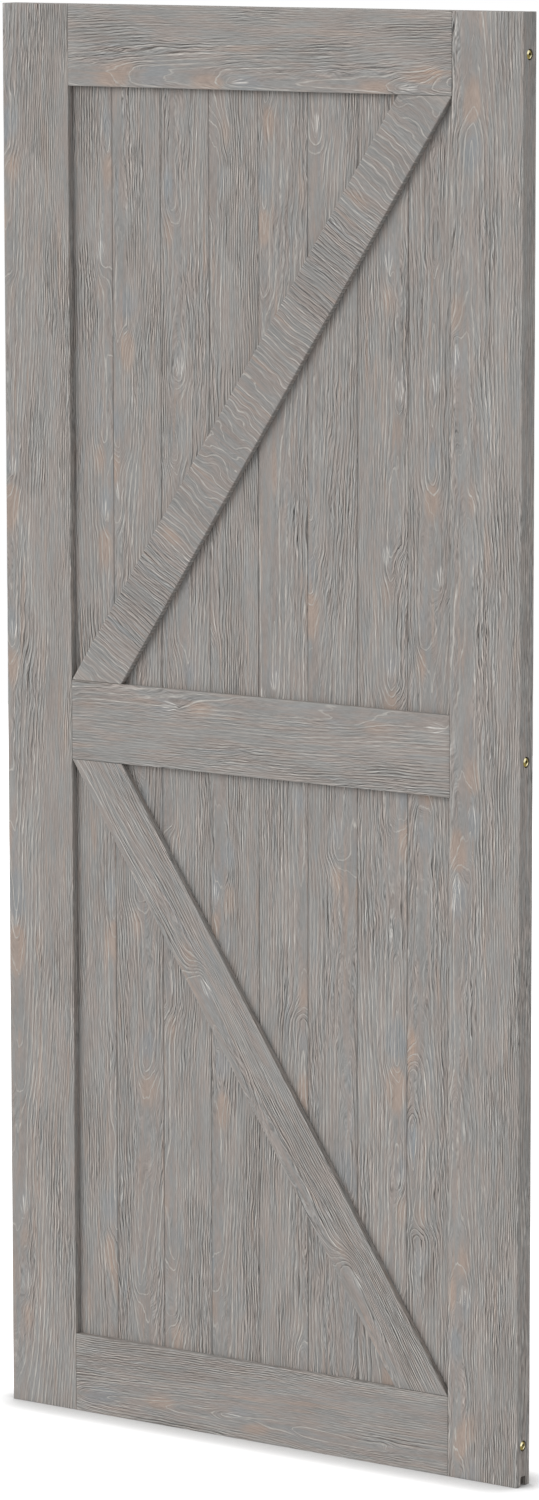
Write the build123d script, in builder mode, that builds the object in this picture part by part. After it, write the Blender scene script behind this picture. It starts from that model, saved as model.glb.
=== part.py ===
from build123d import *
import os
from math import asin, atan2, degrees, hypot

# A sliding barn door slab with a K of braces on its front.
# Two stiles and three rails make the frame, ploughed along their inner edges.
# Tongued and grooved planks fill the two openings, and one brace crosses each set of planks.
# Bolts through the edges of the stiles draw the stub tenons of the rails into the groove.
# Sizes are millimetres. X runs across the door, Y from front to back and Z up.
# The origin is the middle of the top edge, from which the door hangs.

# Whole door
door_width = 914.0
door_height = 2134.0
door_thickness = 35.0

# Frame timbers
stile_width = 120.0
top_rail_width = 120.0
middle_rail_width = 120.0
bottom_rail_width = 120.0
middle_rail_height = 1067.0  # from the bottom edge of the door to the middle of the rail
arris_radius = 1.2  # rounding of the long edges of stiles, rails and braces
end_easing = 0.8  # chamfer along the cut ends of the stiles

# Groove along the inner edges of the frame, and the tenons that fill it
groove_depth = 16.0
groove_side_clearance = 0.15
tenon_end_clearance = 0.5

# Planks, each with a groove on its left edge and a tongue on its right edge
plank_count = 8
plank_thickness = 12.0
plank_edge_clearance = 0.5  # at each side of a set of planks, inside the stiles
plank_top_clearance = 2.0  # over a plank, which stands on the rail below it
tongue_length = 8.0
tongue_thickness = 4.0
tongue_side_clearance = 0.15
tongue_tip_clearance = 0.5
seam_chamfer = 1.0

# Braces, flush with the front of the frame
brace_width = 76.0
brace_thickness = 11.5
brace_clearance = 0.3

# Groove for the floor guide, along the bottom edge
guide_width = 12.7
guide_depth = 14.0

# Connector bolts, one at each end of each rail
bolt_head_diameter = 15.0
bolt_head_height = 3.4
bolt_head_chamfer = 1.4
bolt_shank_diameter = 7.0
bolt_tip_chamfer = 1.0
bolt_grip = 50.0  # length of the shank inside the rail, past the stile
socket_across_flats = 6.0
socket_depth = 2.4
counterbore_depth = 4.0
counterbore_clearance = 0.75
bore_clearance = 0.25
bore_end_clearance = 1.0

# Sizes worked out from the ones above
door_bottom = -door_height
opening_width = door_width - 2 * stile_width
groove_width = plank_thickness + 2 * groove_side_clearance
tenon_length = groove_depth - tenon_end_clearance
top_rail_centre = -top_rail_width / 2
middle_rail_centre = door_bottom + middle_rail_height
bottom_rail_centre = door_bottom + bottom_rail_width / 2
upper_opening = (middle_rail_centre + middle_rail_width / 2, -top_rail_width)
lower_opening = (door_bottom + bottom_rail_width, middle_rail_centre - middle_rail_width / 2)
plank_field = opening_width + 2 * (groove_depth - plank_edge_clearance)
plank_pitch = (plank_field - tongue_length) / plank_count
bore_radius = bolt_shank_diameter / 2 + bore_clearance
counterbore_radius = bolt_head_diameter / 2 + counterbore_clearance
bolt_seat = door_width / 2 - counterbore_depth
bolt_length = stile_width - counterbore_depth + bolt_grip
bolt_heights = {"top": top_rail_centre, "middle": middle_rail_centre, "bottom": bottom_rail_centre}
sides = {"left": -1, "right": 1}

os.makedirs("parts", exist_ok=True)


def make_stile(name, side):
    """An upright of the frame, with its inner groove, its bolt holes and its end of the guide groove."""
    with BuildPart() as stile:
        with BuildSketch(Plane.XY.offset(door_bottom)):
            with Locations((side * (door_width - stile_width) / 2, 0)):
                RectangleRounded(stile_width, door_thickness, arris_radius)
            with Locations((side * (opening_width + groove_depth) / 2, 0)):
                Rectangle(groove_depth, groove_width, mode=Mode.SUBTRACT)
        extrude(amount=door_height)
        ends = stile.faces().filter_by(Axis.Z).group_by(Axis.Z)
        long_edges = (ends[0] + ends[-1]).edges().filter_by(Axis.X).group_by(Axis.Y)
        chamfer(long_edges[0] + long_edges[-1], length=end_easing)
        with BuildSketch(Plane.XY.offset(door_bottom)):
            Rectangle(door_width, guide_width)
        extrude(amount=guide_depth, mode=Mode.SUBTRACT)
        for height in bolt_heights.values():
            with Locations(Plane((side * door_width / 2, 0, height), z_dir=(side, 0, 0))):
                CounterBoreHole(bore_radius, counterbore_radius, counterbore_depth)
    stile.part.label = name
    export_step(stile.part, f"parts/{name}.step")


def make_rail(name, centre, width, grooved_edges, has_guide_groove=False):
    """A rail with stub tenons. Grooved edges are +1 for the upper edge and -1 for the lower edge."""
    with BuildPart() as rail:
        with BuildSketch(Plane.YZ):
            with Locations((0, centre)):
                RectangleRounded(door_thickness, width, arris_radius)
        extrude(amount=opening_width / 2, both=True)
        with BuildSketch(Plane.YZ):
            with Locations((0, centre)):
                Rectangle(plank_thickness, width)
        extrude(amount=opening_width / 2 + tenon_length, both=True)
        with BuildSketch(Plane.YZ):
            for edge in grooved_edges:
                with Locations((0, centre + edge * (width - groove_depth) / 2)):
                    Rectangle(groove_width, groove_depth)
            if has_guide_groove:
                with Locations((0, centre - (width - guide_depth) / 2)):
                    Rectangle(guide_width, guide_depth)
        extrude(amount=door_width / 2, both=True, mode=Mode.SUBTRACT)
        for side in sides.values():
            with Locations(Plane((side * (opening_width / 2 + tenon_length), 0, centre), z_dir=(side, 0, 0))):
                Hole(bore_radius, depth=tenon_length + bolt_grip + bore_end_clearance)
    rail.part.label = name
    export_step(rail.part, f"parts/{name}.step")


def make_plank(name, number, opening):
    """A plank of one opening, counted from the left, standing in the groove of the rail below it."""
    left_edge = -plank_field / 2 + number * plank_pitch
    foot = opening[0] - groove_depth
    head = opening[1] + groove_depth - plank_top_clearance
    with BuildPart() as plank:
        with BuildSketch(Plane.XY.offset(foot)) as section:
            with Locations((left_edge + plank_pitch / 2, 0)):
                Rectangle(plank_pitch, plank_thickness)
            chamfer(section.vertices(), length=seam_chamfer)
            with Locations((left_edge + plank_pitch, 0)):
                Rectangle(tongue_length, tongue_thickness, align=(Align.MIN, Align.CENTER))
            with Locations((left_edge, 0)):
                Rectangle(
                    tongue_length + tongue_tip_clearance,
                    tongue_thickness + 2 * tongue_side_clearance,
                    align=(Align.MIN, Align.CENTER),
                    mode=Mode.SUBTRACT,
                )
        extrude(amount=head - foot)
    plank.part.label = name
    export_step(plank.part, f"parts/{name}.step")


def make_brace(name, opening, lean):
    """A brace from corner to corner of an opening. Lean is +1 where it rises to the right, or else -1."""
    width = opening_width - 2 * brace_clearance
    height = opening[1] - opening[0] - 2 * brace_clearance
    diagonal = hypot(width, height)
    slope = degrees(atan2(height, width) + asin(brace_width / diagonal))
    with BuildPart() as brace:
        with BuildSketch(Plane.XZ.offset(plank_thickness / 2)):
            with Locations((0, (opening[0] + opening[1]) / 2)):
                Rectangle(width, height)
                Rectangle(2 * diagonal, brace_width, rotation=lean * slope, mode=Mode.INTERSECT)
        extrude(amount=brace_thickness)
        front = brace.faces().sort_by(Axis.Y)[0]
        fillet(front.edges().sort_by(SortBy.LENGTH)[-2:], radius=arris_radius)
    brace.part.label = name
    export_step(brace.part, f"parts/{name}.step")


def make_bolt(name, side, height):
    """A connector bolt with a socket head, seated in the counterbore of its stile."""
    outward = Axis((0, 0, height), (side, 0, 0))
    with BuildPart() as bolt:
        with BuildSketch(Plane((side * bolt_seat, 0, height), z_dir=(side, 0, 0))):
            Circle(bolt_head_diameter / 2)
        extrude(amount=bolt_head_height)
        chamfer(bolt.edges().sort_by(outward)[-1], length=bolt_head_chamfer)
        with BuildSketch(Plane((side * bolt_seat, 0, height), z_dir=(side, 0, 0))):
            Circle(bolt_shank_diameter / 2)
        extrude(amount=-bolt_length)
        chamfer(bolt.edges().sort_by(outward)[0], length=bolt_tip_chamfer)
        with BuildSketch(Plane((side * (bolt_seat + bolt_head_height), 0, height), z_dir=(side, 0, 0))):
            RegularPolygon(socket_across_flats / 2, side_count=6, major_radius=False)
        extrude(amount=-socket_depth, mode=Mode.SUBTRACT)
    bolt.part.label = name
    export_step(bolt.part, f"parts/{name}.step")


make_rail("top_rail", top_rail_centre, top_rail_width, grooved_edges=[-1])
make_rail("middle_rail", middle_rail_centre, middle_rail_width, grooved_edges=[-1, 1])
make_rail("bottom_rail", bottom_rail_centre, bottom_rail_width, grooved_edges=[1], has_guide_groove=True)

for side_name, side in sides.items():
    make_stile(f"{side_name}_stile", side)
    for rail_name, height in bolt_heights.items():
        make_bolt(f"{side_name}_{rail_name}_bolt", side, height)

for number in range(plank_count):
    make_plank(f"upper_plank_{number + 1}", number, upper_opening)
    make_plank(f"lower_plank_{number + 1}", number, lower_opening)

make_brace("upper_brace", upper_opening, lean=1)
make_brace("lower_brace", lower_opening, lean=-1)
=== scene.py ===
import math
from collections import namedtuple
import bmesh
import bpy
import numpy as np
from mathutils import Matrix, Vector


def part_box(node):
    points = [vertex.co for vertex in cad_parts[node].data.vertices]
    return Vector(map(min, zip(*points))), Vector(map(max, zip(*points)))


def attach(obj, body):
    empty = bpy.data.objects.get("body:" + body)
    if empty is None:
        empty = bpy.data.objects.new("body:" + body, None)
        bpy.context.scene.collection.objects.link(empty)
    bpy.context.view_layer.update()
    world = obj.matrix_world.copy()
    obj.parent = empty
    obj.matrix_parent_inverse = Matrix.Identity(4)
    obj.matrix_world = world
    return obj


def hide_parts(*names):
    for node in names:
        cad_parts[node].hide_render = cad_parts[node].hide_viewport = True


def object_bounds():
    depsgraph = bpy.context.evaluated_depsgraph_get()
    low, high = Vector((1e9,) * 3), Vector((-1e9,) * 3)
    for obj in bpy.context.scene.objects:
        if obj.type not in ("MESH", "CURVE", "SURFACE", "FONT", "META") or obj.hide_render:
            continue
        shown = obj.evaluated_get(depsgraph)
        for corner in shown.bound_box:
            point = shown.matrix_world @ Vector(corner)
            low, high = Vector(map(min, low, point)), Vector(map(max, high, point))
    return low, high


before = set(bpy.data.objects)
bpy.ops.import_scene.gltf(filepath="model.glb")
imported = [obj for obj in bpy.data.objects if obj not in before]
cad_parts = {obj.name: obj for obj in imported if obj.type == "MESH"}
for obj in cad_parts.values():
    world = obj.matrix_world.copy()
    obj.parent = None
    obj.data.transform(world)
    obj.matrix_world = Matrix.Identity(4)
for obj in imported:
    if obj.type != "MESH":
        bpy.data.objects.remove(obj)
cad_low, cad_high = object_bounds()

# A sliding barn door of grey-washed, wire-brushed spruce. Each timber is meshed again on a fine grid,
# with the growth rings of its own log stored on it, so that relief and colour follow the same grain.
# Metres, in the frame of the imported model: X across, Y from front to back, Z up.
# On a timber, along runs with its grain, across over its broad face and through from front to back.

# Joinery, as in the solids
RAILS = ("top_rail", "middle_rail", "bottom_rail")
PLANKS_PER_PANEL = 8
ARRIS = 0.0012
PANEL_GROOVE_WIDTH = 0.0123
PANEL_GROOVE_DEPTH = 0.016
PANEL_GROOVE = (-PANEL_GROOVE_WIDTH / 2, PANEL_GROOVE_WIDTH / 2)
TENON_THICKNESS = 0.012
TONGUE_LENGTH = 0.008
TONGUE_THICKNESS = 0.004
TONGUE_SIDE_CLEARANCE = 0.00015
TONGUE_TIP_CLEARANCE = 0.0005
SEAM_CHAMFER = 0.001
GUIDE_WIDTH = 0.0127
GUIDE_DEPTH = 0.014
GUIDE_GROOVE = (-GUIDE_WIDTH / 2, GUIDE_WIDTH / 2)
COUNTERBORE_RADIUS = 0.00825
COUNTERBORE_DEPTH = 0.004
BORE_RADIUS = 0.00375
BORE_END_CLEARANCE = 0.001

# Bolts, with tarnish and painted shade from 0 to 1: painted shade darkens the flange and the dome's rim,
# and together with tarnish the socket
BOLT_HEAD_HEIGHT = 0.0034
BOLT_HEAD_RADIUS = 0.0075
BOLT_SHANK_RADIUS = 0.0035
BOLT_TIP_CHAMFER = 0.001
BOLT_SIDES = 48
SOCKET_ACROSS_FLATS = 0.006
SOCKET_DEPTH = 0.0024
CROWN_RADIUS = SOCKET_ACROSS_FLATS / 2 * 1.25
DOME_RADIUS = 0.0070
DOME_DROP = 0.0016
DOME_STEPS = 8
FLANGE_DROP = 0.0022
SOCKET_TARNISH_AND_SHADE = 0.5
LIP_TARNISH_AND_SHADE = 0.2
RIM_PAINTED_SHADE = 0.8
RIM_PAINTED_SHADE_POWER = 8
FLANGE_PAINTED_SHADE = 1.0
SHANK_TARNISH = 0.3
# Gain of the painted highlights on two opposite quarters of each bolt head
PAINTED_HIGHLIGHT_GAIN = 1.5

# Grid of the timbers
ACROSS_PITCH = 0.0013
ALONG_PITCH = 0.02
FLAME_PITCH = 0.006
FLAME_PITCH_LIFT = 0.006
FLAME_PITCH_REACH = 0.03
FIGURED_PITCH = 0.002
THROUGH_PITCH = 0.003
PITCH_SAMPLES = 400
GRID_DIGITS = 7
GRID_SLACK = 1e-6
FAR = 9.0
ANYWHERE = (-FAR, FAR)
X_AXIS = 0
Z_AXIS = 2
DRILL_SIDES = 40
SHARP_ANGLE = math.radians(35)

# Numbers that the planks' logs are counted on from
UPPER_LOGS = 30
LOWER_LOGS = 50

# Logs, with the ranges that their sizes are drawn from
PITH_SPREAD = 0.65
PITH_DEPTH = (0.05, 0.09)
RING_WIDTH = (0.0030, 0.0038)
LEAN_ACROSS = 0.006
LEAN_DEPTH = (0.018, 0.032)
GRAIN_OFFSET = 20
TONE = (0.965, 0.995)

# Two slow waves in each log: their sizes, the least and the greatest of their lengths, and their phases
SWAY_SIZES = (0.0026, 0.0008)
SWAY_WAVES = ((0.5, 0.2), (0.8, 0.3))
SWAY_PHASES = 7

# Soft noise in each log, with sizes along and across the grain
LATTICE = 64
LATTICE_START = 32
WANDER = 0.45
WANDER_SIZE = (0.14, 0.016)
BRUSH_SIZE = (0.13, 0.03)

# Spacing of rings, measured over a short step
SPACING_STEP = 0.0005
LEAST_CHANGE = 0.02

# Flames, the arches that rings make on a broad face, which point the same way on three logs in four
FLAME_WAYS = (1, 1, 1, -1)
FLAME_AREA = 0.014
LEAST_FLAMES = 2
FLAME_MIDDLE = 0.4
FLAME_SPREAD = 0.022
FLAME_BREADTH = (0.012, 0.032)
FLAME_RINGS = (70, 115)
FLAME_TAIL = (0.16, 0.34)
FLAME_DROP = (0.018, 0.034)
FLAME_STAIN = (0.2, 1.2)
FLAME_ROUNDING = 0.25
FLAME_SHARPNESS = 1.5

# Spots at a flame: lift from its tip towards its tail, reach along the grain and reach across it
BLUE_SPOT = (0.025, 0.03, 0.016)
TAN_SPOT = (-0.04, 0.035, 0.014)
TORN_SPOT = (0.014, 0.016, 0.0085)
TORN_SHARE = 0.28
TORN_EDGE = (0.0005, 0.006)
FAN_ROOT = 0.012
FAN_LEAST = 0.004
FAN_SHIFT = 10

# Brushing and wear
RELIEF = 0.00035
GROOVE_REACH = 0.0014
BRUSH_SPAN = (0.1, 0.9)
STAIN_GUARD = 0.8
ARRIS_EASE = 0.45 * ARRIS
SEAM_EASE = 0.5 * SEAM_CHAMFER
EASE_LEAST = 0.55
EASE_CHANGE = 0.45
EASE_COURSE = (31, 17, 23)
EASE_THROUGH = 90
EDGE_WEAR = 0.003
SEAM_DIRT = 0.0018
# Painted shade deep in holes and grooves, the depth where it starts, and the ends that are kept free of
# it
HOLE_PAINTED_SHADE = 3.0
HOLE_SHADE_START = 0.001
UNSHADED_ENDS = 0.02
SAWN_START = 0.0002
END_BRUSH = (0.25, 0.75)
SIDE_BRUSH = (0.35, 0.65)

# The figured upper brace
FIGURE_RINGS = 105.0
FIGURE_SWELL = 0.607
FIGURE_START = 0.37
FIGURE_CROWDING = 0.42
FIGURE_HILLS = 2.6
FIGURE_HILL_SPAN = (0.6, 0.4)
FIGURE_BROAD = (0.034, 0.042)
FIGURE_SMALL = (0.015, 0.02)
FIGURE_SMALL_SHARE = 0.25
FIGURE_SMALL_START = 12
FIGURE_BRUSH = 0.8
FIGURE_BRUSH_SPAN = (0.2, 0.85)
FIGURE_STAINS = (0.262, -0.343)
FIGURE_STAIN_TIP = 0.03
FIGURE_BREADTH = 0.9
FIGURE_TONE = 0.93

# The other timbers: how deep they are brushed, how bold their flames are, and the lower brace's flames
RIGHT_STILE_COMB = 0.15
RAIL_COMB = -0.12
PLANK_COMB = 0.09
BRACE_COMB = 0.25
STILE_FLAMES = 0.5
RAIL_FLAMES = 0.7
BRACE_FLAMES = 1.7
BRACE_WANDER = 1.7
BRACE_TIPS = ((0.165, -0.012), (-0.325, -0.012))

# Noise in the finishes, as sizes along and across the grain
BEND_SIZE = (0.075, 0.022)
WAVER_SIZE = (0.05, 0.009)
FADE_SIZE = (0.12, 0.02)
BREAK_SIZE = (0.026, 0.004)
FIBRE_SIZE = (0.022, 0.002)
FINE_SIZE = (0.014, 0.0011)
MOTTLE_SIZE = (0.09, 0.018)
CALM_SIZE = (0.1, 0.03)
STREAK_SIZE = (0.15, 0.011)
BLUSH_SIZE = (0.06, 0.008)
BLOTCH_SIZE = (0.003, 0.003)

# Spans in the finishes: from, to and, where given, the values there
COMBED = (0.5, 0.85)
DARK_AFTER = (1.9, 0.4)
DARK_BEFORE = (0.4, 0.0)
LIGHT_OUTSIDE = (3.3, 1.7)
LIGHT_INSIDE = (0.3, 0.9)
FADE = (0.34, 0.62)
BREAKS = (0.36, 0.6)
BRUSHED = (0.0, 0.3, 0.35, 1.0)
CLOSE_RINGS = (16.0, 7.0, 0.1, 1.0)
WIDE_RINGS = (4.0, 7.0)
BLUSH = (0.35, 0.65)
BLUE_STAIN = (0.2, 0.9)
TAN_STAIN = (-0.2, -0.8, 0.0, 1.35)
BLUE_STREAK = (0.36, 0.24, 0.0, 0.7)
TAN_STREAK = (0.63, 0.75, 0.0, 0.9)
TORN_CORE = (0.25, 0.7)
TORN_STROKE = (0.52, 0.64)
CALM = (0.38, 0.6, 0.5, 1.15)
BLOTCH = (0.25, 0.6, 0.75, 1.0)
BRASS_ROUGHNESS = (0.0, 1.0, 0.35, 0.12)

# Straight lines in the finishes: slope and start
BEND = (1.0, -0.5)
COMBED_BEND = (1.3, 0.25)
WAVER = (0.5, -0.25)
COMBED_LEAST = (0.4, 0.2)
LUCKY = (0.6, 0.6)
COMBED_DARK = (0.6, 0.6)
BOLD_BREAKS = (0.7, 0.3)
BOLD_LUCK = (0.5, 0.65)
COMBED_BOLD = (-0.7, 1.0)
COMBED_FAINT = (-0.25, 0.7)
TORN_BREAKS = (0.6, 0.4)
# Painted light and shade of the fibres, stronger where brushed
BRUSHED_PAINTED_RELIEF_LIGHT = (2.5, 1.4)
FINE_SHADE = (0.5, 0.73)
MOTTLE_SHADE = (0.4, -0.2)
WOOD_ROUGHNESS = (-0.3, 0.82)

# Strengths in the finishes
LIGHT_HEIGHT = 0.6
FIBRE_HEIGHT = 0.8
FINE_HEIGHT = 0.3
DARK_DEPTH = 0.7
FIBRE_ROUGHNESS = 0.6
FIBRE_COURSE = 0.006
FIBRE_SHIFT = 0.7
CLOSEST_RINGS = 2.5
TORN_STROKES = 11.0
BLUE_STRENGTH = 0.5
TAN_STRENGTH = 0.42
TORN_STRENGTH = 0.75
WORN_STRENGTH = 0.2
DIRT_AND_SHADE_STRENGTH = 0.32
BUMP_STRENGTH = 0.6
BUMP_DISTANCE = 0.0005
WOOD_SHINE = 0.25

# Camera, fitted to the photograph
CAMERA_PLACE = Vector((4.96993, -7.23381, 0.24192))
CAMERA_TURN = math.radians(34.432)
CAMERA_DOWN = math.radians(8.613)
CAMERA_ROLL = math.radians(-0.086)
LENS = 144.53
SENSOR = 36.0
SIGHT = 200

# Light
SKY_LIGHT = 0.62
KEY_STRENGTH = 1.5
KEY_SOFTNESS = math.radians(45)
KEY_FROM = Vector((-0.5, -0.85, 0.5))
FLOOR_REACH = 6.0
FLOOR_LIFT = 0.7
# Painted contact shadow on the floor: its reach, its depth and its samples
PAINTED_CONTACT_SHADOW_REACH = 0.07
PAINTED_CONTACT_SHADOW_DEPTH = 4.4
PAINTED_CONTACT_SHADOW_SAMPLES = 8


def srgb(red, green, blue):
    """A colour given in screen values from 0 to 255, as linear light."""
    def linear(value):
        value /= 255
        return value / 12.92 if value <= 0.04045 else ((value + 0.055) / 1.055) ** 2.4
    return (linear(red), linear(green), linear(blue), 1.0)


# Colours
COOL_GREY = srgb(146, 145, 143)
WARM_GREY = srgb(152, 144, 139)
TAN = srgb(172, 151, 137)
BLUE = srgb(139, 144, 148)
DARK_LINE = srgb(92, 87, 83)
LIGHT_LINE = srgb(184, 180, 174)
SLIVER = srgb(222, 219, 214)
# Brass of the painted highlights
PAINTED_HIGHLIGHT_BRASS = srgb(252, 243, 198)
DULL_BRASS = srgb(128, 114, 56)
# Colour of tarnish and of the painted shade on the flange, the dome's rim and the socket
TARNISH_AND_SHADE = srgb(20, 15, 6)
WHITE = (1, 1, 1, 1)
FLOOR_WHITE = (0.8, 0.8, 0.8, 1)


def smoothstep(low, high, value):
    """0 below low, 1 above high and a smooth rise between them."""
    share = np.clip((value - low) / (high - low), 0, 1)
    return share * share * (3 - 2 * share)


def soft_noise(lattice, u, v):
    """Smooth values between those of a square lattice, which repeats."""
    size = len(lattice)
    column = np.floor(u).astype(int)
    row = np.floor(v).astype(int)
    s = smoothstep(0, 1, u - column)
    t = smoothstep(0, 1, v - row)

    def between_columns(row):
        return lattice[column % size, row % size] * (1 - s) + lattice[(column + 1) % size, row % size] * s
    return between_columns(row) * (1 - t) + between_columns(row + 1) * t


def grain_noise(lattice, along, across, size, start=LATTICE_START):
    """Noise of a size along and across the grain."""
    return soft_noise(lattice, along / size[0] + start, across / size[1] + start)


def spot(up, aside, lift, reach, breadth):
    """A soft oval."""
    return np.exp(-(((up - lift) / reach) ** 2) - (aside / breadth) ** 2)


Flame = namedtuple("Flame", "tip side rings tail drop breadth stain torn")


class Log:
    """The tree that a timber was sawn from: rings round a leaning pith, pushed out into flames.

    Comb deepens the brushing, boldness scales the flames and wander bends the rings.
    Tips are the places of the flames along and across the grain, drawn at random where none are given.
    """

    def __init__(
        self, seed, length, width, figured=False, comb=0.0, boldness=1.0, wander=WANDER, tips=None
    ):
        draw = np.random.default_rng(seed)
        self.figured = figured
        self.comb = comb
        self.wander = wander
        self.pith_across = draw.uniform(-PITH_SPREAD, PITH_SPREAD) * width
        self.pith_depth = draw.choice((-1, 1)) * draw.uniform(*PITH_DEPTH)
        self.ring = draw.uniform(*RING_WIDTH)
        self.lean_across = draw.normal(0, LEAN_ACROSS)
        self.turn = draw.choice(FLAME_WAYS)
        self.lean_depth = -self.turn * np.sign(self.pith_depth) * draw.uniform(*LEAN_DEPTH)
        waves = draw.uniform(*SWAY_WAVES)
        self.sway = list(zip(SWAY_SIZES, waves, draw.uniform(0, SWAY_PHASES, 2)))
        places = self.draw_places(draw, length, width)
        if figured:
            places = [(FIGURE_STAIN_TIP * self.turn, side) for side in FIGURE_STAINS]
        elif tips:
            places = tips
        self.flames = []
        for tip, side in places:
            self.flames.append(self.draw_flame(draw, tip, side, boldness, tips is not None))
        self.lattice = draw.random((LATTICE, LATTICE))
        self.brush_lattice = draw.random((LATTICE, LATTICE))
        self.offset = draw.uniform(-GRAIN_OFFSET, GRAIN_OFFSET, 3)
        self.tone = FIGURE_TONE if figured else draw.uniform(*TONE)

    def draw_places(self, draw, length, width):
        """Random places of flame tips, near the pith or the edge that is nearest to it."""
        middle = min(max(self.pith_across, -FLAME_MIDDLE * width), FLAME_MIDDLE * width)
        places = []
        for _ in range(max(LEAST_FLAMES, round(length * width / FLAME_AREA))):
            tip = draw.uniform(-0.5, 0.5) * length
            places.append((tip, middle + draw.uniform(-FLAME_SPREAD, FLAME_SPREAD)))
        return places

    def draw_flame(self, draw, tip, side, boldness, surely_torn):
        """A flame of random size. Those of a figured log only place its stains."""
        breadth = draw.uniform(*FLAME_BREADTH)
        return Flame(
            tip=tip,
            side=side,
            rings=0.0 if self.figured else breadth * draw.uniform(*FLAME_RINGS) * boldness,
            tail=draw.uniform(*FLAME_TAIL),
            drop=draw.uniform(*FLAME_DROP),
            breadth=breadth,
            stain=draw.uniform(*FLAME_STAIN),
            torn=not self.figured and (surely_torn or draw.random() < TORN_SHARE),
        )

    def rings(self, along, across, through):
        """Rings counted from the pith."""
        if self.figured:
            return self.figure(along, across)
        drift = sum(size * np.sin(2 * math.pi * along / wave + phase) for size, wave, phase in self.sway)
        x = across - self.pith_across - self.lean_across * along - drift
        y = through - self.pith_depth - self.lean_depth * along
        count = np.hypot(x, y) / self.ring
        for flame in self.flames:
            count = count - self.flare(flame, along, across)
        return count + self.wander * grain_noise(self.lattice, along, across, WANDER_SIZE)

    def swell(self, across):
        """Angle of the zones of a figured timber: combed straight at 0 and wavy half a turn on."""
        return 2 * math.pi * (across - FIGURE_START) / FIGURE_SWELL

    def figure(self, along, across):
        """Rings of a figured timber: close and straight in combed zones, wide and hilly in wavy ones."""
        zone = self.swell(across)
        even, uneven = FIGURE_HILL_SPAN
        broad = grain_noise(self.lattice, along, across, FIGURE_BROAD)
        small = grain_noise(self.lattice, along, across, FIGURE_SMALL, FIGURE_SMALL_START)
        hills = FIGURE_HILLS * (even - uneven * np.cos(zone)) * (broad + FIGURE_SMALL_SHARE * small)
        crowded = across + FIGURE_CROWDING * FIGURE_SWELL / (2 * math.pi) * np.sin(zone)
        return FIGURE_RINGS * crowded + hills

    def above(self, flame, along):
        """Distance from the tip of a flame towards its tail."""
        return (along - flame.tip) * self.turn

    def flare(self, flame, along, across):
        """Rings that a flame pushes out, most along its middle line, from a sharp tip to a long tail."""
        up = self.above(flame, along)
        reach = np.where(up > 0, flame.tail, flame.drop)
        aside = np.hypot((across - flame.side) / flame.breadth, FLAME_ROUNDING) - FLAME_ROUNDING
        return flame.rings * np.exp(-((up / reach) ** 2) - FLAME_SHARPNESS * aside)

    def patches(self, along, across):
        """Stain left by the wash: above 0 blue-grey inside the flames, below 0 tan under their tips."""
        stain = np.zeros_like(along)
        for flame in self.flames:
            up = self.above(flame, along)
            stain += flame.stain * spot(up, across - flame.side, *BLUE_SPOT)
            stain -= flame.stain * spot(up, across - flame.side, *TAN_SPOT)
        return stain

    def torn_fibres(self, along, across):
        """Where fibres were torn up white just inside the tips, and the slope of their fan there."""
        torn = np.zeros_like(along)
        fan = np.zeros_like(along)
        for flame in self.flames:
            if flame.torn:
                up = self.above(flame, along)
                aside = across - flame.side
                here = spot(up, aside, *TORN_SPOT)
                slope = aside / np.maximum(up + FAN_ROOT, FAN_LEAST) + FAN_SHIFT * flame.stain
                fan = np.where(here > torn, slope, fan)
                torn = np.maximum(torn, here)
        return torn, fan

    def brushing(self, along, across):
        """How deep the wire brush went, from 0 to 1."""
        if self.figured:
            depth = FIGURE_BRUSH * smoothstep(*FIGURE_BRUSH_SPAN, np.cos(self.swell(across)))
        else:
            depth = grain_noise(self.brush_lattice, along, across, BRUSH_SIZE)
            depth = smoothstep(*BRUSH_SPAN, depth + self.comb)
        return depth * (1 - STAIN_GUARD * np.clip(np.abs(self.patches(along, across)), 0, 1))

    def spacing(self, along, across, through):
        """Distance between rings on the broad faces, and which way they count across, from -1 to 1."""
        step = SPACING_STEP
        sideways = self.rings(along, across + step, through) - self.rings(along, across - step, through)
        lengthwise = self.rings(along + step, across, through) - self.rings(along - step, across, through)
        change = np.maximum(np.hypot(sideways, lengthwise), LEAST_CHANGE)
        return 2 * step / change, sideways / change

    def relief(self, along, across, through):
        """Depth brushed out along the edge of each ring."""
        count = self.rings(along, across, through)
        apart = np.abs(count - np.round(count)) * self.spacing(along, across, through)[0]
        return RELIEF * self.brushing(along, across) * np.exp(-((apart / GROOVE_REACH) ** 2))

    def pitch(self, along):
        """Grid pitch along the grain: fine round the tips of the flames."""
        if self.figured:
            return np.full_like(along, FIGURED_PITCH)
        contact_occlusion = np.zeros_like(along)
        for flame in self.flames:
            up = self.above(flame, along) - FLAME_PITCH_LIFT
            contact_occlusion = np.maximum(contact_occlusion, np.exp(-((up / FLAME_PITCH_REACH) ** 2)))
        return 1 / (1 / ALONG_PITCH + contact_occlusion * (1 / FLAME_PITCH - 1 / ALONG_PITCH))


class Sawn:
    """How a timber lies: its middle, its directions along and across the grain, and its half sizes."""

    def __init__(self, low, high, along, across):
        self.centre = (low + high) / 2
        self.along = np.array(along, float)
        self.across = np.array(across, float)
        self.half_length = np.abs((high - low) @ self.along) / 2
        self.half_width = np.abs((high - low) @ self.across) / 2
        self.half_depth = (high[1] - low[1]) / 2

    def place(self, places):
        """Distances from the middle along, across and through."""
        moved = places - self.centre
        return moved @ self.along, moved @ self.across, moved[:, 1]


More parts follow.
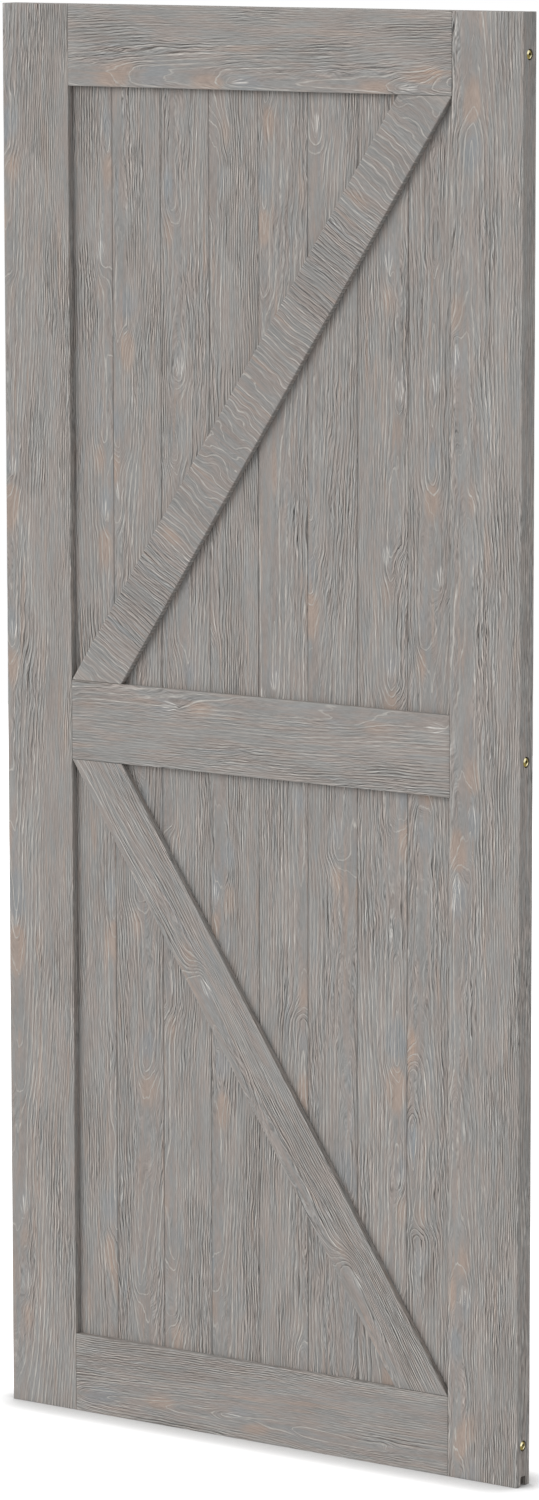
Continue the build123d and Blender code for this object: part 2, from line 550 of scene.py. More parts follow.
def steps(low, high, pitch, marks=(), ease=ARRIS):
    """Grid lines from low to high, at most a pitch apart, with one at each mark and just inside each end.

    A pitch that changes is given as a function of the distance from the middle.
    """
    stops = (low, low + ease, high - ease, high, *marks)
    stops = sorted({round(float(stop), GRID_DIGITS) for stop in stops})
    lines = [stops[0]]
    for start, stop in zip(stops, stops[1:]):
        fine = np.linspace(start, stop, PITCH_SAMPLES)
        middle = (fine[1:] + fine[:-1] - low - high) / 2
        crowd = np.diff(fine) / (pitch(middle) if callable(pitch) else pitch)
        crowd = np.concatenate(([0], np.cumsum(crowd)))
        count = max(1, math.ceil(crowd[-1] - GRID_SLACK))
        lines.extend(np.interp(np.linspace(0, crowd[-1], count + 1)[1:-1], crowd, fine))
        lines.append(stop)
    return np.array(lines)


def filled(grid):
    """The cells of a grid, all filled."""
    return np.ones([len(lines) - 1 for lines in grid], bool)


def cut(solid, grid, x=ANYWHERE, y=ANYWHERE, z=ANYWHERE):
    """Empties a box of the grid."""
    inside = []
    for lines, (low, high) in zip(grid, (x, y, z)):
        middle = (lines[1:] + lines[:-1]) / 2
        inside.append((middle > low) & (middle < high))
    solid[np.ix_(*inside)] = False


def skin_quads(full, size):
    """Quads between filled and empty cells, turned outwards, with corners as numbers in the grid."""
    quads = []
    for axis in range(3):
        cells = np.moveaxis(full, axis, 0)[:, 1:-1, 1:-1]
        low, high = cells[:-1], cells[1:]
        others = [other for other in range(3) if other != axis]
        for facing, shows in ((1, low & ~high), (-1, high & ~low)):
            plane, first, second = np.nonzero(shows)
            corners = []
            for du, dv in ((0, 0), (1, 0), (1, 1), (0, 1)):
                place = np.empty((3, len(plane)), int)
                place[axis] = plane
                place[others[0]] = first + du
                place[others[1]] = second + dv
                corners.append(np.ravel_multi_index(place, size))
            turn = facing if axis != 1 else -facing
            quads.append(np.stack(corners[::turn], 1))
    return np.concatenate(quads)


def skin(grid, solid):
    """Skin of the filled cells: places, quads, outward directions and how many cells meet at a place."""
    full = np.pad(solid, 1)
    size = np.array(solid.shape) + 1
    used, quads = np.unique(skin_quads(full, size), return_inverse=True)
    index = np.array(np.unravel_index(used, size))
    outward = np.zeros((3, len(used)))
    meeting = np.zeros(len(used), int)
    for corner in np.ndindex(2, 2, 2):
        offset = np.array(corner)[:, None]
        here = full[tuple(index + offset)]
        meeting += here
        outward -= (2 * offset - 1) * here
    places = np.stack([lines[i] for lines, i in zip(grid, index)], 1)
    return places, quads.reshape(-1, 4), np.sign(outward.T), meeting


def saw(grid, solid, log, sawn, ease, end_axis, shear=None):
    """Places and quads of a timber: arrises eased unevenly, and the long faces brushed along the rings.

    The end axis is the one of the grid that runs from end to end. Shear leans the grid over, for a brace.
    """
    places, quads, outward, meeting = skin(grid, solid)
    edges = (meeting <= 2)[:, None]
    flat = (meeting == 4) & (np.abs(outward).sum(1) == 1)
    faces = (flat & (outward[:, end_axis] == 0))[:, None]
    plain = shear(places) if shear else places
    wear = soft_noise(log.brush_lattice, plain @ np.array(EASE_COURSE), plain[:, 1] * EASE_THROUGH)
    wear = EASE_LEAST + EASE_CHANGE * wear
    places = places - outward * edges * (ease * wear)[:, None]
    places = shear(places) if shear else places
    places = places - outward * faces * log.relief(*sawn.place(plain))[:, None]
    return places.tolist(), quads.tolist()


def drill(piece, holes):
    """Sinks round holes that run across the door, each given by its middle, radius and length."""
    drills = bmesh.new()
    for middle, radius, length in holes:
        bmesh.ops.create_cone(
            drills,
            cap_ends=True,
            segments=DRILL_SIDES,
            radius1=radius,
            radius2=radius,
            depth=length,
            matrix=Matrix.Translation(middle) @ Matrix.Rotation(math.pi / 2, 4, "Y"),
        )
    mesh = bpy.data.meshes.new("drills")
    drills.to_mesh(mesh)
    drills.free()
    cutter = bpy.data.objects.new("drills", mesh)
    bpy.context.scene.collection.objects.link(cutter)
    boolean = piece.modifiers.new("drills", "BOOLEAN")
    boolean.operation = "DIFFERENCE"
    boolean.solver = "MANIFOLD"
    boolean.object = cutter
    graph = bpy.context.evaluated_depsgraph_get()
    drilled = bpy.data.meshes.new_from_object(piece.evaluated_get(graph))
    piece.modifiers.clear()
    piece.data = drilled
    bpy.data.objects.remove(cutter)


def add_piece(name, places, faces):
    """A new object."""
    mesh = bpy.data.meshes.new(name)
    mesh.from_pydata(places, [], faces)
    piece = bpy.data.objects.new(name, mesh)
    bpy.context.scene.collection.objects.link(piece)
    return piece


def store(mesh, name, *columns):
    """Stores three values for each place of a mesh as a vector, or four as a colour."""
    kind, key = ("FLOAT_VECTOR", "vector") if len(columns) == 3 else ("FLOAT_COLOR", "color")
    values = np.stack(columns, 1).ravel()
    mesh.attributes.new(name, kind, "POINT").data.foreach_set(key, values)


def coat(mesh, material):
    """Gives a mesh its shading and its material."""
    mesh.shade_smooth()
    mesh.set_sharp_from_angle(angle=SHARP_ANGLE)
    mesh.materials.clear()
    mesh.materials.append(material)


def edge_finish(sawn, along, across, through, slot):
    """Above 0 where the edges of a timber are worn, below 0 for dirt in plank seams and for painted shade
    deep in holes and grooves.
    """
    beside = sawn.half_width - np.abs(across)
    behind = sawn.half_depth - np.abs(through)
    if slot == "planks":
        return -(1 - smoothstep(0, SEAM_DIRT, beside))
    worn = np.exp(-np.maximum(np.maximum(beside, behind), 0) / EDGE_WEAR)
    # Painted shade, darkest deep in holes and grooves, away from the ends
    hole_shade = smoothstep(HOLE_SHADE_START, COUNTERBORE_DEPTH, np.minimum(beside, behind))
    hole_shade = hole_shade * (sawn.half_length - np.abs(along) > UNSHADED_ENDS)
    return worn - HOLE_PAINTED_SHADE * hole_shade


def sawn_brush(inset, least, rise):
    """Share of the brushing that shows, which is less on a sawn face, where the inset is 0."""
    return least + rise * smoothstep(SAWN_START, ARRIS, inset)


def finish_timber(piece, node, log, sawn, slot, material):
    """Stores the grain on a timber, and lets it stand for its CAD node."""
    mesh = piece.data
    places = np.empty(len(mesh.vertices) * 3)
    mesh.vertices.foreach_get("co", places)
    along, across, through = sawn.place(places.reshape(-1, 3))
    beside = sawn.half_width - np.abs(across)
    torn, fan = log.torn_fibres(along, across)
    store(mesh, "torn", torn * smoothstep(*TORN_EDGE, beside), fan, np.zeros_like(fan))
    apart, facing = log.spacing(along, across, through)
    millimetres = apart * 1000 / (FIGURE_BREADTH if log.figured else 1)
    store(mesh, "rings", log.rings(along, across, through), millimetres, facing)
    store(mesh, "grain", across + log.offset[0], through + log.offset[1], along + log.offset[2])
    end_brush = sawn_brush(sawn.half_length - np.abs(along), *END_BRUSH)
    side_brush = sawn_brush(beside, *SIDE_BRUSH)
    store(
        mesh,
        "finish",
        log.brushing(along, across) * end_brush * side_brush,
        edge_finish(sawn, along, across, through, slot),
        log.patches(along, across),
        np.full_like(along, log.tone),
    )
    coat(mesh, material)
    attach(piece, "root")
    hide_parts(node)


def corners_of(node):
    """The box of a CAD node as two arrays."""
    low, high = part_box(node)
    return np.array(low), np.array(high)


def make_stile(node, seed, material, comb=0.0):
    """An upright, with its panel groove, its guide groove and its three bolt holes."""
    low, high = corners_of(node)
    side = 1 if low[0] > 0 else -1
    outer, inner = (high[0], low[0]) if side > 0 else (low[0], high[0])
    floor = inner + side * PANEL_GROOVE_DEPTH
    guide_top = low[2] + GUIDE_DEPTH
    log = Log(seed, high[2] - low[2], high[0] - low[0], comb=comb, boldness=STILE_FLAMES)
    grid = (
        steps(low[0], high[0], ACROSS_PITCH, (floor,)),
        steps(low[1], high[1], THROUGH_PITCH, PANEL_GROOVE + GUIDE_GROOVE),
        steps(low[2], high[2], log.pitch, (guide_top,)),
    )
    solid = filled(grid)
    cut(solid, grid, x=sorted((inner, floor)), y=PANEL_GROOVE)
    cut(solid, grid, y=GUIDE_GROOVE, z=(-FAR, guide_top))
    sawn = Sawn(low, high, (0, 0, 1), (1, 0, 0))
    piece = add_piece(node + "_timber", *saw(grid, solid, log, sawn, ARRIS_EASE, Z_AXIS))
    heights = [sum(corners_of(rail))[2] / 2 for rail in RAILS]
    middle = (low[0] + high[0]) / 2
    drill(piece, [((outer, 0, height), COUNTERBORE_RADIUS, 2 * COUNTERBORE_DEPTH) for height in heights])
    drill(piece, [((middle, 0, height), BORE_RADIUS, 2 * (high[0] - low[0])) for height in heights])
    finish_timber(piece, node, log, sawn, "frame_timber", material)


def make_rail(node, seed, material, grooved_above=False, grooved_below=False, guided=False):
    """A rail with its tenons, the grooves that hold the planks and its bolt holes."""
    low, high = corners_of(node)
    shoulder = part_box("right_stile")[0].x
    tenon = TENON_THICKNESS / 2
    upper_floor = high[2] - PANEL_GROOVE_DEPTH
    lower_floor = low[2] + PANEL_GROOVE_DEPTH
    guide_top = low[2] + GUIDE_DEPTH
    heights = [upper_floor] * grooved_above + [lower_floor] * grooved_below + [guide_top] * guided
    log = Log(seed, high[0] - low[0], high[2] - low[2], comb=RAIL_COMB, boldness=RAIL_FLAMES)
    grid = (
        steps(low[0], high[0], log.pitch, (-shoulder, ARRIS - shoulder, shoulder - ARRIS, shoulder)),
        steps(low[1], high[1], THROUGH_PITCH, (-tenon, tenon) + PANEL_GROOVE + GUIDE_GROOVE * guided),
        steps(low[2], high[2], ACROSS_PITCH, heights),
    )
    solid = filled(grid)
    for beyond in ((-FAR, -shoulder), (shoulder, FAR)):
        cut(solid, grid, x=beyond, y=(-FAR, -tenon))
        cut(solid, grid, x=beyond, y=(tenon, FAR))
    if grooved_above:
        cut(solid, grid, y=PANEL_GROOVE, z=(upper_floor, FAR))
    if grooved_below:
        cut(solid, grid, y=PANEL_GROOVE, z=(-FAR, lower_floor))
    if guided:
        cut(solid, grid, y=GUIDE_GROOVE, z=(-FAR, guide_top))
    sawn = Sawn(low, high, (1, 0, 0), (0, 0, -1))
    piece = add_piece(node + "_timber", *saw(grid, solid, log, sawn, ARRIS_EASE, X_AXIS))
    left_bolt, right_bolt = [side + "_" + node.replace("rail", "bolt") for side in ("left", "right")]
    left_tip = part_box(left_bolt)[1].x + BORE_END_CLEARANCE
    right_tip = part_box(right_bolt)[0].x - BORE_END_CLEARANCE
    height = (low[2] + high[2]) / 2
    holes = []
    for tip, end in ((left_tip, low[0]), (right_tip, high[0])):
        holes.append(((end, 0, height), BORE_RADIUS, 2 * abs(tip - end)))
    drill(piece, holes)
    finish_timber(piece, node, log, sawn, "frame_timber", material)


def make_plank(node, seed, material):
    """A plank with a groove on its left edge and a tongue on its right edge."""
    low, high = corners_of(node)
    shoulder = high[0] - TONGUE_LENGTH
    groove_floor = low[0] + TONGUE_LENGTH + TONGUE_TIP_CLEARANCE
    tongue = TONGUE_THICKNESS / 2
    groove = tongue + TONGUE_SIDE_CLEARANCE
    marks = (groove_floor, shoulder - SEAM_CHAMFER, shoulder)
    log = Log(seed, high[2] - low[2], shoulder - low[0], comb=PLANK_COMB)
    grid = (
        steps(low[0], high[0], ACROSS_PITCH, marks, SEAM_CHAMFER),
        steps(low[1], high[1], THROUGH_PITCH, (-groove, -tongue, tongue, groove), SEAM_CHAMFER),
        steps(low[2], high[2], log.pitch),
    )
    solid = filled(grid)
    cut(solid, grid, x=(-FAR, groove_floor), y=(-groove, groove))
    cut(solid, grid, x=(shoulder, FAR), y=(-FAR, -tongue))
    cut(solid, grid, x=(shoulder, FAR), y=(tongue, FAR))
    sawn = Sawn(low, np.array((shoulder, high[1], high[2])), (0, 0, 1), (1, 0, 0))
    piece = add_piece(node + "_timber", *saw(grid, solid, log, sawn, SEAM_EASE, Z_AXIS))
    finish_timber(piece, node, log, sawn, "planks", material)


def make_brace(node, seed, material, figured=False):
    """A brace with level end cuts. The grain runs over the width of a figured one, and else along it."""
    solid_places = np.array([vertex.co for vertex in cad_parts[node].data.vertices])
    low, high = solid_places.min(0), solid_places.max(0)
    foot = solid_places[solid_places[:, 2] < low[2] + ARRIS][:, 0]
    head = solid_places[solid_places[:, 2] > high[2] - ARRIS][:, 0]
    end_cut = foot.max() - foot.min()
    edge = np.array((head.min() - foot.min(), 0, high[2] - low[2]))
    length = np.linalg.norm(edge)
    edge /= length
    square = np.array((edge[2], 0, -edge[0]))
    width = end_cut * edge[2]
    if figured:
        log = Log(seed, width, length, figured=True)
        sawn = Sawn(low, high, square, -edge)
        sawn.half_length, sawn.half_width = width / 2, length / 2
    else:
        own = {"comb": BRACE_COMB, "boldness": BRACE_FLAMES, "wander": BRACE_WANDER, "tips": BRACE_TIPS}
        log = Log(seed, length, width, **own)
        sawn = Sawn(low, high, edge, square)
        sawn.half_length, sawn.half_width = length / 2, width / 2
    grid = (
        steps(0, end_cut, (FIGURED_PITCH if figured else ACROSS_PITCH) / edge[2]),
        steps(low[1], high[1], THROUGH_PITCH),
        steps(0, length, log.pitch),
    )
    corner = np.array((foot.min(), 0, low[2]))
    directions = np.array(((1, 0, 0), (0, 1, 0), edge))

    def lean(places):
        return corner + places @ directions
    shape = saw(grid, filled(grid), log, sawn, ARRIS_EASE, Z_AXIS, lean)
    piece = add_piece(node + "_timber", *shape)
    finish_timber(piece, node, log, sawn, "braces", material)


def bolt_profile(length):
    """Rows of a bolt from its socket to its tip: radius, whether six-sided, depth, and tarnish with
    painted shade.
    """
    flat = SOCKET_ACROSS_FLATS / 2
    profile = [
        (0, False, -SOCKET_DEPTH, SOCKET_TARNISH_AND_SHADE),
        (flat, True, -SOCKET_DEPTH, SOCKET_TARNISH_AND_SHADE),
        (flat, True, 0, LIP_TARNISH_AND_SHADE),
    ]
    for step in range(DOME_STEPS + 1):
        angle = math.pi / 2 * step / DOME_STEPS
        radius = CROWN_RADIUS + (DOME_RADIUS - CROWN_RADIUS) * math.sin(angle)
        # Painted shade, darkening the dome towards its rim
        tarnish_and_shade = RIM_PAINTED_SHADE * (step / DOME_STEPS) ** RIM_PAINTED_SHADE_POWER
        profile.append((radius, False, -DOME_DROP * (1 - math.cos(angle)), tarnish_and_shade))
    profile += [
        (DOME_RADIUS, False, -FLANGE_DROP, FLANGE_PAINTED_SHADE),
        (BOLT_HEAD_RADIUS, False, -FLANGE_DROP, FLANGE_PAINTED_SHADE),
        (BOLT_HEAD_RADIUS, False, -BOLT_HEAD_HEIGHT, FLANGE_PAINTED_SHADE),
        (BOLT_SHANK_RADIUS, False, -BOLT_HEAD_HEIGHT, FLANGE_PAINTED_SHADE),
        (BOLT_SHANK_RADIUS, False, BOLT_TIP_CHAMFER - length, SHANK_TARNISH),
        (BOLT_SHANK_RADIUS - BOLT_TIP_CHAMFER, False, -length, SHANK_TARNISH),
        (0, False, -length, SHANK_TARNISH),
    ]
    return profile


def bolt_faces(rows):
    """Faces between rows of place numbers, where the first and the last row have one place each."""
    faces = []
    for first, second in zip(rows, rows[1:]):
        for step in range(BOLT_SIDES):
            after = (step + 1) % BOLT_SIDES
            if len(first) == 1:
                faces.append((first[0], second[step], second[after]))
            elif len(second) == 1:
                faces.append((first[after], first[step], second[0]))
            else:
                faces.append((first[after], first[step], second[step], second[after]))
    return faces


def make_bolt(node, material):
    """A connector bolt: a six-sided socket in a dome, a flange painted dark as shade and a plain shank.
    """
    low, high = corners_of(node)
    side = 1 if low[0] > 0 else -1
    tip, face = (low[0], high[0]) if side > 0 else (high[0], low[0])
    height = (low[2] + high[2]) / 2
    places = []
    rows = []
    tarnishes_and_shades = []
    painted_highlights = []
    for radius, six_sided, depth, tarnish_and_shade in bolt_profile(abs(face - tip)):
        count = BOLT_SIDES if radius else 1
        rows.append(range(len(places), len(places) + count))
        for step in range(count):
            angle = 2 * math.pi * step / BOLT_SIDES
            turn = (angle + math.pi / 6) % (math.pi / 3) - math.pi / 6
            reach = radius / math.cos(turn) if six_sided else radius
            y = -side * reach * math.sin(angle)
            places.append((face + side * depth, y, height + reach * math.cos(angle)))
            tarnishes_and_shades.append(tarnish_and_shade)
            # Painted highlights, brightest on two opposite quarters of the dome
            painted_highlights.append(min(1, max(0, PAINTED_HIGHLIGHT_GAIN * math.sin(2 * angle))))
    piece = add_piece(node + "_brass", places, bolt_faces(rows))
    store(piece.data, "finish", tarnishes_and_shades, painted_highlights, np.zeros(len(places)), np.ones(len(places)))
    coat(piece.data, material)
    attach(piece, "root")
    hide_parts(node)


class Shader:
    """The nodes of a material or of the sky, with short ways to add those that the finishes need."""

    def __init__(self, holder):
        self.holder = holder
        holder.use_nodes = True
        self.tree = holder.node_tree
        self.surface = self.tree.nodes.get("Principled BSDF") or self.tree.nodes["Background"]

    def put(self, value, socket):
        """Links a socket to another, or sets it to a constant."""
        if isinstance(value, bpy.types.NodeSocket):
            self.tree.links.new(value, socket)
        else:
            socket.default_value = value

    def add(self, kind, inputs=(), **settings):
        """A new node with its settings and inputs."""
        node = self.tree.nodes.new(kind)
        for key, value in settings.items():
            setattr(node, key, value)
        for socket, value in dict(inputs).items():
            self.put(value, node.inputs[socket])
        return node

    def stored(self, name):
        """What a mesh stores under a name."""
        return self.add("ShaderNodeAttribute", attribute_name=name).outputs

    def split(self, vector):
        """The three parts of a vector."""
        return self.add("ShaderNodeSeparateXYZ", {0: vector}).outputs

    def split_colour(self, colour):
        """The three parts of a colour."""
        return self.add("ShaderNodeSeparateColor", {0: colour}).outputs

    def math(self, operation, first, second=0.0):
        return self.add("ShaderNodeMath", {0: first, 1: second}, operation=operation).outputs[0]

    def sum(self, first, second):
        return self.math("ADD", first, second)

    def greater(self, first, second):
        return self.math("MAXIMUM", first, second)

    def product(self, *factors):
        result = factors[0]
        for factor in factors[1:]:
            result = self.math("MULTIPLY", result, factor)
        return result

    def line(self, value, scale, start):
        """A value scaled, from a start."""
        inputs = {0: value, 1: scale, 2: start}
        return self.add("ShaderNodeMath", inputs, operation="MULTIPLY_ADD").outputs[0]

    def noise(self, vector, size, detail=2.0, roughness=0.5):
        """Noise of a size along and across the grain."""
        along, across = size
        scale = (1 / across, 1 / across, 1 / along)
        place = self.add("ShaderNodeVectorMath", {0: vector, 1: scale}, operation="MULTIPLY").outputs[0]
        inputs = {"Vector": place, "Scale": 1.0, "Detail": detail, "Roughness": roughness}
        return self.add("ShaderNodeTexNoise", inputs).outputs["Fac"]

    def span(self, value, low, high, to_low=0.0, to_high=1.0):
        """A smooth change from one value at low to another at high."""
        inputs = {"Value": value, "From Min": low, "From Max": high, "To Min": to_low, "To Max": to_high}
        return self.add("ShaderNodeMapRange", inputs, interpolation_type="SMOOTHSTEP").outputs["Result"]

    def mix(self, share, first, second, blend="MIX"):
        """A share of the second colour over the first."""
        node = self.add("ShaderNodeMix", data_type="RGBA", blend_type=blend)
        for socket, value in zip((0, 6, 7), (share, first, second)):
            self.put(value, node.inputs[socket])
        return node.outputs[2]

    def seen(self):
        """1 for what the camera sees, directly, mirrored or through glass, and 0 for other light."""
        path = self.add("ShaderNodeLightPath").outputs
        indirect = self.greater(path["Is Glossy Ray"], path["Is Transmission Ray"])
        return self.greater(path["Is Camera Ray"], indirect)


class Timber:
    """What the mesh of a timber stores for its finish. Spacing is in millimetres."""

    def __init__(self, s):
        self.grain = s.stored("grain")["Vector"]
        self.count, self.spacing, self.facing = s.split(s.stored("rings")["Vector"])
        self.torn, self.fan, _ = s.split(s.stored("torn")["Vector"])
        finish = s.stored("finish")
        self.brush, self.edge, self.stain = s.split_colour(finish["Color"])
        self.tone = finish["Alpha"]
        self.combed = s.span(self.brush, *COMBED)


def bent_count(s, timber):
    """The count of rings with a small waver. In combed wood the lines bend more."""
    bend = s.line(s.noise(timber.grain, BEND_SIZE, detail=1.0), *BEND)
    bend = s.product(bend, s.line(timber.combed, *COMBED_BEND))
    waver = s.line(s.noise(timber.grain, WAVER_SIZE), *WAVER)
    return s.sum(timber.count, s.sum(bend, waver))


def ring_lines(s, timber, count):
    """Shares of the dark line at each ring and the light line before it, and where lines break."""
    phase = s.math("FRACT", count)
    number = s.math("FLOOR", count)
    luck = s.add("ShaderNodeTexWhiteNoise", {"W": number}, noise_dimensions="1D").outputs["Value"]

    # Shapes of the lines, by the millimetres on from one ring and back from the next
    after = s.product(phase, timber.spacing)
    before = s.product(s.line(phase, -1.0, 1.0), timber.spacing)
    dark = s.greater(s.span(after, *DARK_AFTER), s.span(before, *DARK_BEFORE))
    light = s.product(s.span(before, *LIGHT_OUTSIDE), s.span(before, *LIGHT_INSIDE))

    # Strengths, which change from ring to ring and along each of them
    least = s.line(timber.combed, *COMBED_LEAST)
    fade = s.span(s.noise(timber.grain, FADE_SIZE), *FADE, least, 1.0)
    breaks = s.span(s.noise(timber.grain, BREAK_SIZE), *BREAKS, least, 1.0)
    brushed = s.span(timber.brush, *BRUSHED)
    strength = s.product(fade, breaks, s.line(luck, *LUCKY), brushed)
    close = s.span(timber.spacing, *CLOSE_RINGS)
    dark = s.product(dark, strength, s.line(timber.combed, *COMBED_DARK), close)

    # Light lines are bold where the rings are wide
    bold = s.product(s.span(timber.spacing, *WIDE_RINGS), s.line(breaks, *BOLD_BREAKS))
    bold = s.product(bold, s.line(luck, *BOLD_LUCK), s.line(timber.combed, *COMBED_BOLD))
    faint = s.product(strength, s.line(timber.combed, *COMBED_FAINT))
    return dark, s.product(light, s.greater(faint, bold)), breaks


def ring_fibres(s, timber, count):
    """Fibres that follow the rings, and their painted light and shade as if lit from one side."""
    _, through, along = s.split(timber.grain)
    course = s.product(count, FIBRE_COURSE)
    slope = s.math("DIVIDE", timber.facing, s.greater(timber.spacing, CLOSEST_RINGS))
    shift = s.product(slope, FIBRE_COURSE * FIBRE_SHIFT)
    fibres = []
    for side in (-0.5, 0.5):
        sideways = s.sum(course, s.product(shift, side))
        place = s.add("ShaderNodeCombineXYZ", {0: sideways, 1: through, 2: along}).outputs[0]
        fibres.append(s.noise(place, FIBRE_SIZE, roughness=FIBRE_ROUGHNESS))
    return fibres[0], s.math("SUBTRACT", fibres[1], fibres[0])


def wash_colour(s, timber):
    """The grey wash, with blue-grey and tan stains at the flames and in streaks."""
    blush = s.span(s.noise(timber.grain, BLUSH_SIZE), *BLUSH)
    streak = s.noise(timber.grain, STREAK_SIZE, detail=1.0)
    cool = s.sum(s.span(timber.stain, *BLUE_STAIN), s.span(streak, *BLUE_STREAK))
    warm = s.sum(s.span(timber.stain, *TAN_STAIN), s.span(streak, *TAN_STREAK))
    colour = s.mix(blush, COOL_GREY, WARM_GREY)
    colour = s.mix(s.product(cool, BLUE_STRENGTH), colour, BLUE)
    return s.mix(s.product(warm, TAN_STRENGTH), colour, TAN)


def torn_share(s, timber, breaks):
    """Share of white where fibres are torn up at a flame, in strokes that fan out."""
    strokes = {"W": timber.fan, "Scale": TORN_STROKES, "Detail": 0.0}
    strokes = s.add("ShaderNodeTexNoise", strokes, noise_dimensions="1D").outputs["Fac"]
    torn = s.product(s.span(timber.torn, *TORN_CORE), s.span(strokes, *TORN_STROKE))
    torn = s.product(torn, s.line(breaks, *TORN_BREAKS))
    return s.product(torn, TORN_STRENGTH)


def wood_shade(s, timber, painted_relief_light, fine):
    """Lightness as a grey: painted light and shade on the fibres, calm in places, fine fibres, a mottle
    and the timber's tone.
    """
    calm = s.span(s.noise(timber.grain, CALM_SIZE), *CALM)
    mottle = s.line(s.noise(timber.grain, MOTTLE_SIZE, detail=3.0), *MOTTLE_SHADE)
    lit = s.product(painted_relief_light, calm, s.line(timber.brush, *BRUSHED_PAINTED_RELIEF_LIGHT))
    shade = s.sum(lit, s.line(fine, *FINE_SHADE))
    shade = s.product(s.sum(shade, mottle), timber.tone)
    return s.add("ShaderNodeCombineColor", {0: shade, 1: shade, 2: shade}).outputs[0]


def make_wood():
    """Grey-washed spruce: embossed rings and fibres with painted light and shade on the fibres, tan and
    blue-grey stains, a few torn fibres.
    """
    s = Shader(bpy.data.materials.new("grey_washed_spruce"))
    timber = Timber(s)
    count = bent_count(s, timber)
    dark, light, breaks = ring_lines(s, timber, count)
    fibres, painted_relief_light = ring_fibres(s, timber, count)
    fine = s.noise(timber.grain, FINE_SIZE)
    worn = s.product(s.greater(timber.edge, 0.0), WORN_STRENGTH)
    # Dirt in plank seams, and painted shade deep in holes and grooves
    dirt_and_shade = s.product(s.math("MINIMUM", timber.edge, 0.0), -DIRT_AND_SHADE_STRENGTH)

    colour = wash_colour(s, timber)
    colour = s.mix(dark, colour, DARK_LINE)
    colour = s.mix(light, colour, LIGHT_LINE)
    colour = s.mix(torn_share(s, timber, breaks), colour, SLIVER)
    colour = s.mix(worn, colour, LIGHT_LINE)
    colour = s.mix(dirt_and_shade, colour, DARK_LINE)
    colour = s.mix(1.0, colour, wood_shade(s, timber, painted_relief_light, fine), "MULTIPLY")

    height = s.sum(s.product(light, LIGHT_HEIGHT), s.product(fibres, FIBRE_HEIGHT))
    height = s.sum(height, s.product(fine, FINE_HEIGHT))
    height = s.math("SUBTRACT", height, s.product(dark, DARK_DEPTH))
    bump = {"Height": height, "Strength": BUMP_STRENGTH, "Distance": BUMP_DISTANCE}
    s.put(colour, s.surface.inputs["Base Color"])
    s.put(s.line(fine, *WOOD_ROUGHNESS), s.surface.inputs["Roughness"])
    s.put(s.add("ShaderNodeBump", bump).outputs["Normal"], s.surface.inputs["Normal"])
    s.surface.inputs["Specular IOR Level"].default_value = WOOD_SHINE
    return s.holder


def make_brass():
    """Plated brass, with painted highlights in two opposite quarters of each head, and tarnish with
    painted shade in its recesses.
    """
    s = Shader(bpy.data.materials.new("brass"))
    tarnish_and_shade, painted_highlight, _ = s.split_colour(s.stored("finish")["Color"])
    blotch = s.noise(s.add("ShaderNodeTexCoord").outputs["Object"], BLOTCH_SIZE)
    # Painted highlights: bright brass, in blotches, on two opposite quarters of each head
    painted_highlight = s.product(painted_highlight, s.span(blotch, *BLOTCH))
    colour = s.mix(painted_highlight, DULL_BRASS, PAINTED_HIGHLIGHT_BRASS)
    # Tarnish and painted shade darken the socket, the dome's rim and the flange
    s.put(s.mix(tarnish_and_shade, colour, TARNISH_AND_SHADE), s.surface.inputs["Base Color"])
    s.put(s.span(painted_highlight, *BRASS_ROUGHNESS), s.surface.inputs["Roughness"])
    s.surface.inputs["Metallic"].default_value = 1.0
    return s.holder


def make_camera():
    """The eye of the photograph."""
    camera = bpy.data.cameras.new("camera")
    camera.lens = LENS
    camera.sensor_width = SENSOR
    camera.clip_end = SIGHT
    eye = bpy.data.objects.new("camera", camera)
    turn = Matrix.Rotation(CAMERA_TURN, 4, "Z") @ Matrix.Rotation(math.pi / 2 - CAMERA_DOWN, 4, "X")
    eye.matrix_world = Matrix.Translation(CAMERA_PLACE) @ turn @ Matrix.Rotation(CAMERA_ROLL, 4, "Z")
    bpy.context.scene.collection.objects.link(eye)
    bpy.context.scene.camera = eye


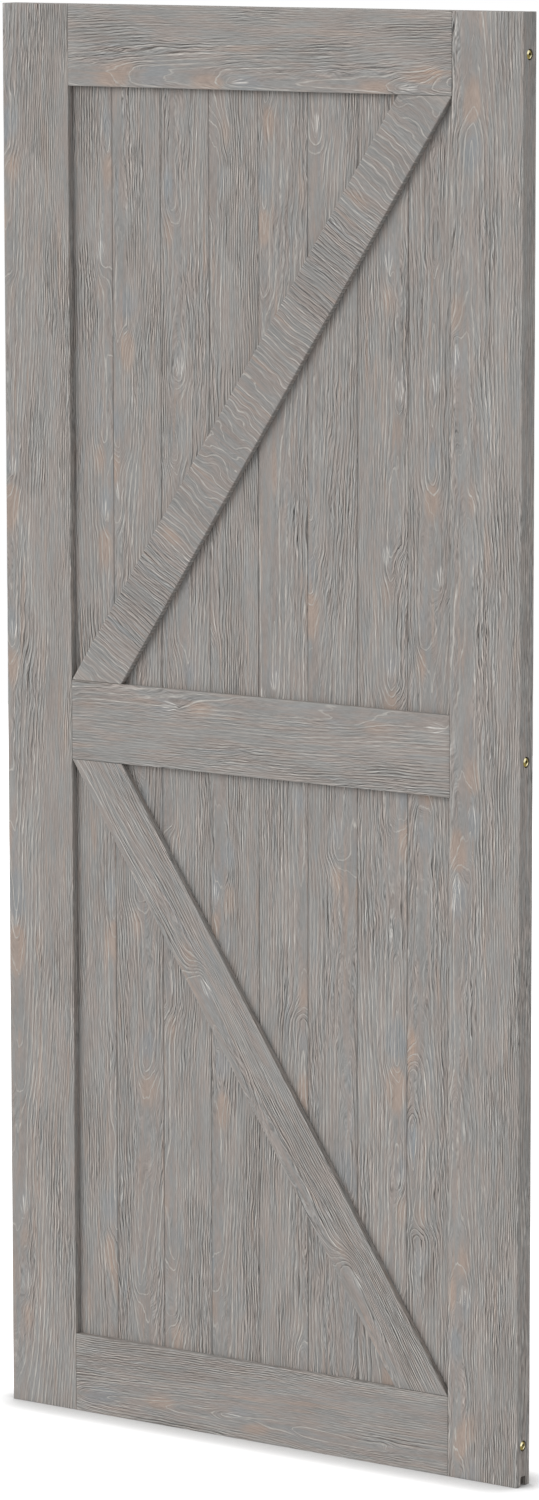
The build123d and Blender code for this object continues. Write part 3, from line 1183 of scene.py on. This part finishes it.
def make_light():
    """An even sky, white where the camera sees it, and one soft key from the upper left of the front."""
    s = Shader(bpy.data.worlds.new("sky"))
    s.put(s.span(s.seen(), 0.0, 1.0, SKY_LIGHT, 1.0), s.surface.inputs["Strength"])
    s.put(WHITE, s.surface.inputs["Color"])
    bpy.context.scene.world = s.holder
    key = bpy.data.lights.new("key", "SUN")
    key.energy = KEY_STRENGTH
    key.angle = KEY_SOFTNESS
    lamp = bpy.data.objects.new("key", key)
    lamp.rotation_euler = KEY_FROM.to_track_quat("Z", "Y").to_euler()
    bpy.context.scene.collection.objects.link(lamp)


def make_floor():
    """A white floor that keeps the door's shadow, with a painted contact shadow by the door where ambient
    occlusion dims its glow.
    """
    corners = [(-1, -1), (1, -1), (1, 1), (-1, 1)]
    places = [(x * FLOOR_REACH, y * FLOOR_REACH, cad_low.z) for x, y in corners]
    floor = add_piece("floor", places, [(0, 1, 2, 3)])
    s = Shader(bpy.data.materials.new("floor_white"))
    # Painted contact shadow: the floor's glow is dimmed where the door is near
    contact_occlusion = s.add("ShaderNodeAmbientOcclusion", {"Distance": PAINTED_CONTACT_SHADOW_REACH}, samples=PAINTED_CONTACT_SHADOW_SAMPLES)
    outside_painted_shadow = s.math("POWER", contact_occlusion.outputs["AO"], PAINTED_CONTACT_SHADOW_DEPTH)
    s.surface.inputs["Base Color"].default_value = FLOOR_WHITE
    s.surface.inputs["Roughness"].default_value = 1.0
    s.surface.inputs["Specular IOR Level"].default_value = 0.0
    s.surface.inputs["Emission Color"].default_value = WHITE
    s.put(s.product(s.seen(), outside_painted_shadow, FLOOR_LIFT), s.surface.inputs["Emission Strength"])
    floor.data.materials.append(s.holder)


# Each timber is given the number of its own log
wood = make_wood()
make_stile("left_stile", 11, wood)
make_stile("right_stile", 12, wood, comb=RIGHT_STILE_COMB)
make_rail("top_rail", 21, wood, grooved_below=True)
make_rail("middle_rail", 2112, wood, grooved_above=True, grooved_below=True)
make_rail("bottom_rail", 23, wood, grooved_above=True, guided=True)
for number in range(1, PLANKS_PER_PANEL + 1):
    make_plank(f"upper_plank_{number}", UPPER_LOGS + number, wood)
    make_plank(f"lower_plank_{number}", LOWER_LOGS + number, wood)
make_brace("upper_brace", 71, wood, figured=True)
make_brace("lower_brace", 126, wood)
brass = make_brass()
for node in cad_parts:
    if node.endswith("_bolt"):
        make_bolt(node, brass)
make_floor()
make_light()
make_camera()
bpy.context.scene.view_settings.view_transform = "Standard"
